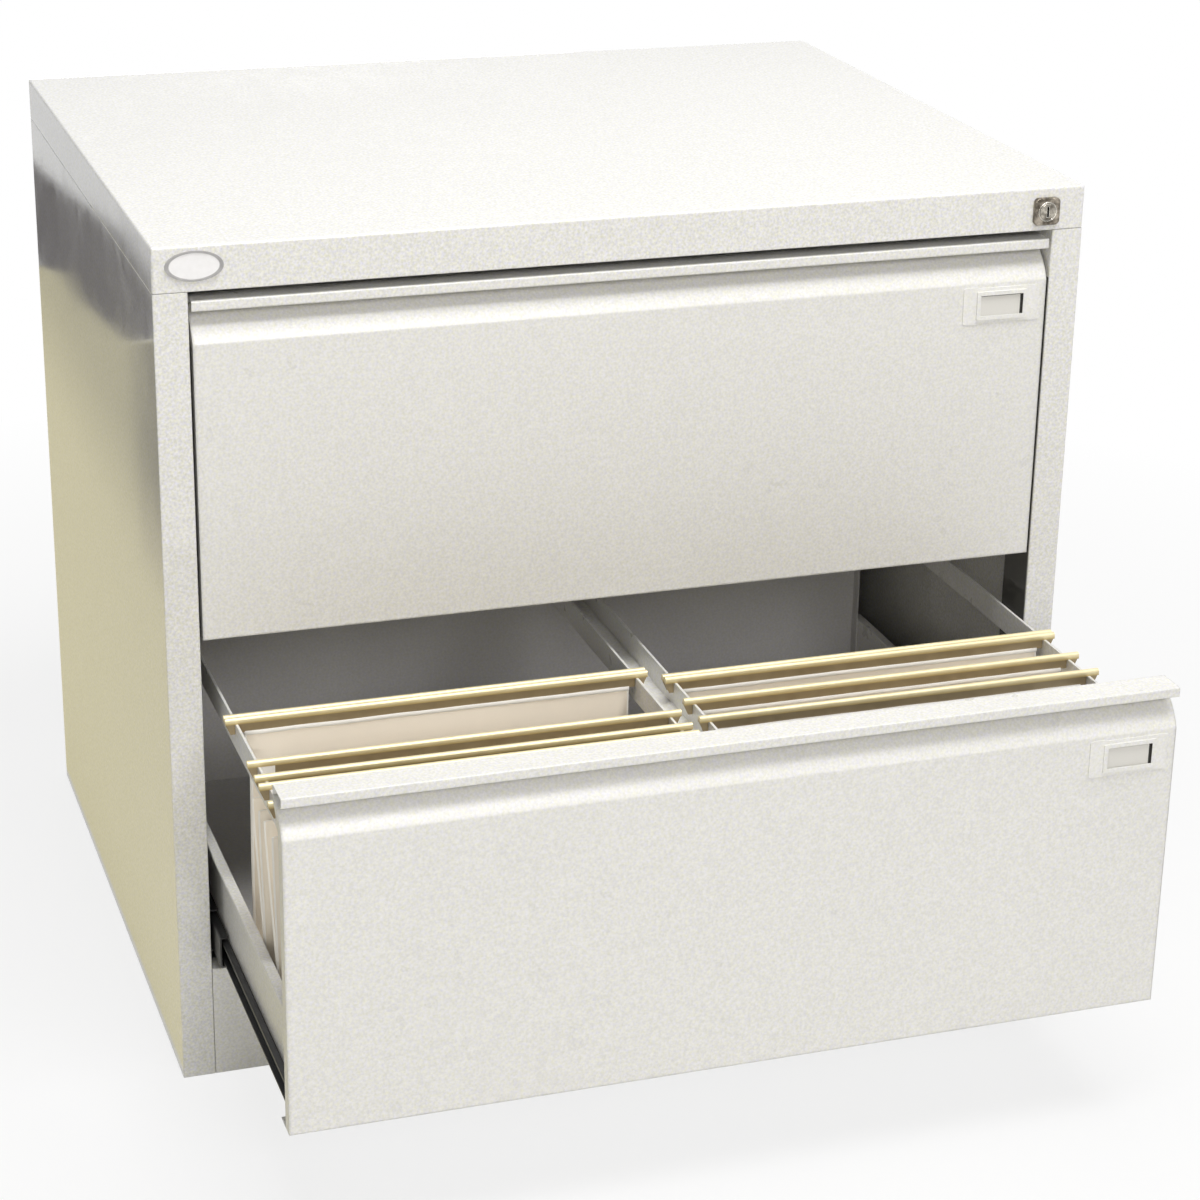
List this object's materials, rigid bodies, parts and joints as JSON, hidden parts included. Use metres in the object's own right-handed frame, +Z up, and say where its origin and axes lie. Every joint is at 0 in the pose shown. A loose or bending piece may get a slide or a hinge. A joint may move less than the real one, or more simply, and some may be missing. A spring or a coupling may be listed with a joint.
{
  "type": "suspension filing cabinet",
  "caption": "Double-width steel filing cabinet with sliding drawers, side-by-side rows of hanging files, grip lips, label holders and a lock that bars the drawers.",
  "frame": {"origin": "centre of the carcass's underside, where the cabinet stands on the floor", "axes": "+X to the right seen from the front, +Y from the front to the back, +Z up"},
  "size_m": [0.774, 0.9003, 0.711],
  "materials": {
    "paint_outside": "semi-gloss warm light grey powder coat",
    "paint_inside": "satin warm light grey powder coat",
    "runner_steel": "dark zinc, oiled",
    "ball_steel": "polished balls on a dark cage",
    "lock_chrome": "dark chrome",
    "zinc_steel": "zinc plated",
    "guide_plastic": "natural nylon",
    "badge_metal": "satin, blank",
    "label_metal": "satin plated steel",
    "label_card": "blank card",
    "bar_gold": "gold lacquered steel",
    "file_card": "buff manila card"
  },
  "bodies": {
    "cabinet": {"lid": "paint_outside", "left_side_panel": "paint_outside", "right_side_panel": "paint_outside", "back_panel": "paint_inside", "base_pan": "paint_inside", "kick_panel": "paint_outside", "left_rear_upright": "paint_inside", "right_rear_upright": "paint_inside", "upper_left_cabinet_runner": "runner_steel", "upper_right_cabinet_runner": "runner_steel", "lower_left_cabinet_runner": "runner_steel", "lower_right_cabinet_runner": "runner_steel", "lock_housing": "lock_chrome", "lock_nut": "zinc_steel", "lock_bar_guides": "guide_plastic", "badge_plate": "badge_metal", "cabinet_screws": "zinc_steel"},
    "upper_drawer": {"upper_front_skin": "paint_outside", "upper_grip_lip": "paint_outside", "upper_front_liner": "paint_inside", "upper_left_low_side": "paint_inside", "upper_right_low_side": "paint_inside", "upper_drawer_floor": "paint_inside", "upper_drawer_back": "paint_inside", "upper_side_rails": "paint_inside", "upper_centre_channel": "paint_inside", "upper_label_holder": "label_metal", "upper_label_card": "label_card", "upper_lock_catch": "zinc_steel", "upper_drawer_runners": "runner_steel"},
    "lower_drawer": {"lower_front_skin": "paint_outside", "lower_grip_lip": "paint_outside", "lower_front_liner": "paint_inside", "lower_left_low_side": "paint_inside", "lower_right_low_side": "paint_inside", "lower_drawer_floor": "paint_inside", "lower_drawer_back": "paint_inside", "lower_side_rails": "paint_inside", "lower_centre_channel": "paint_inside", "lower_label_holder": "label_metal", "lower_label_card": "label_card", "lower_lock_catch": "zinc_steel", "lower_drawer_runners": "runner_steel"},
    "upper_middle": {"upper_middle_runners": "runner_steel", "upper_ball_rows": "ball_steel"},
    "lower_middle": {"lower_middle_runners": "runner_steel", "lower_ball_rows": "ball_steel"},
    "lock_turning": {"lock_plug": "lock_chrome", "lock_cam": "zinc_steel"},
    "lock_sliding": {"lock_bar": "zinc_steel"},
    "back_left_file": {"back_left_file_bars": "bar_gold", "back_left_file_pocket": "file_card"},
    "middle_left_file": {"middle_left_file_bars": "bar_gold", "middle_left_file_pocket": "file_card"},
    "front_left_file": {"front_left_file_bars": "bar_gold", "front_left_file_pocket": "file_card"},
    "back_right_file": {"back_right_file_bars": "bar_gold", "back_right_file_pocket": "file_card"},
    "front_right_file": {"front_right_file_bars": "bar_gold", "front_right_file_pocket": "file_card"}
  },
  "joints": [
    {"name": "upper_drawer_slide", "type": "slide", "parent": "cabinet", "child": "upper_drawer", "axis": [0, -1, 0], "range_m": [0, 0.5]},
    {"name": "lower_drawer_slide", "type": "slide", "parent": "cabinet", "child": "lower_drawer", "axis": [0, -1, 0], "range_m": [-0.2753, 0.2247]},
    {"name": "upper_middle_slide", "type": "slide", "parent": "cabinet", "child": "upper_middle", "axis": [0, -1, 0], "range_m": [0, 0.25]},
    {"name": "lower_middle_slide", "type": "slide", "parent": "cabinet", "child": "lower_middle", "axis": [0, -1, 0], "range_m": [-0.13765, 0.11235]},
    {"name": "lock_turn", "type": "hinge", "parent": "cabinet", "child": "lock_turning", "pos_m": [0.3523, -0.311, 0.6915], "axis": [0, 1, 0], "range_deg": [0, 90]},
    {"name": "lock_bar_slide", "type": "slide", "parent": "cabinet", "child": "lock_sliding", "axis": [0, 0, 1], "range_m": [-0.01202, 0]},
    {"name": "back_left_file_slide", "type": "slide", "parent": "lower_drawer", "child": "back_left_file", "axis": [0, 1, 0], "range_m": [-0.036, 0.36]},
    {"name": "middle_left_file_slide", "type": "slide", "parent": "lower_drawer", "child": "middle_left_file", "axis": [0, 1, 0], "range_m": [-0.0036, 0.036]},
    {"name": "front_left_file_slide", "type": "slide", "parent": "lower_drawer", "child": "front_left_file", "axis": [0, 1, 0], "range_m": [-0.036, 0.0036]},
    {"name": "back_right_file_slide", "type": "slide", "parent": "lower_drawer", "child": "back_right_file", "axis": [0, 1, 0], "range_m": [-0.018, 0.38]},
    {"name": "front_right_file_slide", "type": "slide", "parent": "lower_drawer", "child": "front_right_file", "axis": [0, 1, 0], "range_m": [-0.09, 0.018]}
  ],
  "couplings": [
    {"joint": "upper_middle_slide", "follows": "upper_drawer_slide", "ratio": 0.5},
    {"joint": "lower_middle_slide", "follows": "lower_drawer_slide", "ratio": 0.5},
    {"joint": "lock_turn", "follows": "lock_bar_slide", "rad_per_m": -130.67}
  ]
}
